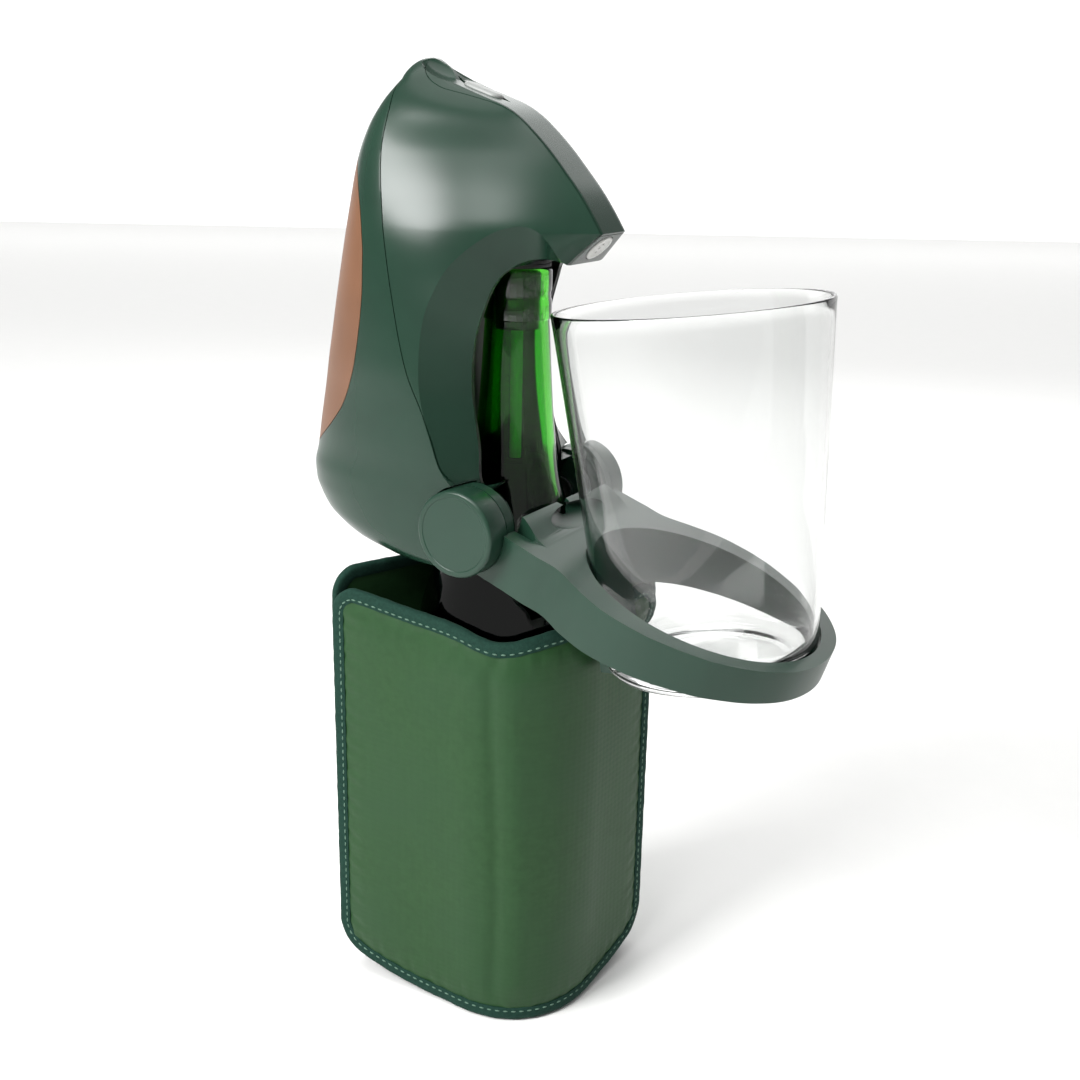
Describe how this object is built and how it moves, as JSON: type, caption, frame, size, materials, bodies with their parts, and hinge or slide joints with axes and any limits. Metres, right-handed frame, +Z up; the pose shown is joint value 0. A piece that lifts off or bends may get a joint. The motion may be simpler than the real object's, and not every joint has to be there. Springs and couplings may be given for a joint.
{
  "type": "electric bottle-top cider pourer",
  "caption": "Battery pump head that stands on a bottle and pours through a spout into a glass held in a hinged ring, with a padded bottle sleeve.",
  "frame": {"origin": "centre of the bottle's flat foot, on the surface it stands on", "axes": "+Z up along the bottle's axis, +X the way the spout points, -Y the side that the picture shows"},
  "size_m": [0.2251, 0.103, 0.374],
  "materials": {
    "green_plastic": "dark green, satin gloss",
    "brown_plastic": "terracotta brown, matt",
    "black_plastic": "black, satin",
    "grey_plastic": "light grey, satin",
    "white_plastic": "white, smooth",
    "hose": "milky silicone",
    "black_rubber": "matt black",
    "steel": "plain steel",
    "board": "green board",
    "cell_jacket": "plain dark jacket",
    "bottle_glass": "bright green bottle glass",
    "clear_glass": "clear glass",
    "sleeve_fabric": "satin green padded cloth",
    "binding_tape": "dark green woven tape"
  },
  "bodies": {
    "bottle_and_sleeve": {"bottle": "bottle_glass", "sleeve_front_panel": "sleeve_fabric", "sleeve_rear_panel": "sleeve_fabric", "sleeve_front_binding": "binding_tape", "sleeve_rear_binding": "binding_tape"},
    "pourer_head": {"rear_shell": "green_plastic", "front_shell": "green_plastic", "ridge_strip": "green_plastic", "neck_liner": "black_plastic", "button_switch": "black_plastic", "circuit_board": "board", "nozzle_insert": "white_plastic", "outlet_hose": "hose", "air_hose": "hose", "bottle_stopper": "black_rubber", "mouth_seal": "black_rubber", "dip_tube": "hose", "pump_cover": "black_plastic", "pump_diaphragm": "black_rubber", "pump_body": "grey_plastic", "motor_can": "steel", "battery_tray": "black_plastic", "battery_cell_1": "cell_jacket", "battery_cell_2": "cell_jacket", "battery_cell_3": "cell_jacket", "battery_cell_4": "cell_jacket", "contact_plate_left": "steel", "contact_plate_right": "steel", "contact_spring_left": "steel", "contact_spring_right": "steel", "tray_screw_left": "steel", "tray_screw_right": "steel", "hinge_pin_left": "steel", "hinge_pin_right": "steel", "hinge_washer_left": "black_rubber", "hinge_washer_right": "black_rubber", "hinge_cap_left": "green_plastic", "hinge_cap_right": "green_plastic"},
    "button": {"power_button": "grey_plastic"},
    "crank": {"pump_crank": "white_plastic"},
    "cover": {"battery_cover": "brown_plastic"},
    "holder": {"glass_holder": "green_plastic"},
    "glass": {"drinking_glass": "clear_glass"}
  },
  "joints": [
    {"name": "pourer_lift", "type": "slide", "parent": "bottle_and_sleeve", "child": "pourer_head", "axis": [0, 0, 1], "range_m": [0, 0.3]},
    {"name": "button_press", "type": "slide", "parent": "pourer_head", "child": "button", "axis": [-0.38, 0, -0.925], "range_m": [0, 0.0012], "stiffness_N_per_m": 600},
    {"name": "pump_spin", "type": "hinge", "parent": "pourer_head", "child": "crank", "pos_m": [-0.02, 0, 0.329], "axis": [1, 0, 0], "continuous": true},
    {"name": "cover_slide", "type": "slide", "parent": "pourer_head", "child": "cover", "axis": [-0.9724, 0, 0.2334], "range_m": [0, 0.03]},
    {"name": "holder_tilt", "type": "hinge", "parent": "pourer_head", "child": "holder", "pos_m": [0.0042, 0, 0.2068], "axis": [0, 1, 0], "range_deg": [-5, 0]},
    {"name": "glass_lift", "type": "slide", "parent": "holder", "child": "glass", "axis": [-0.1167, 0, 0.9932], "range_m": [0, 0.01]}
  ]
}
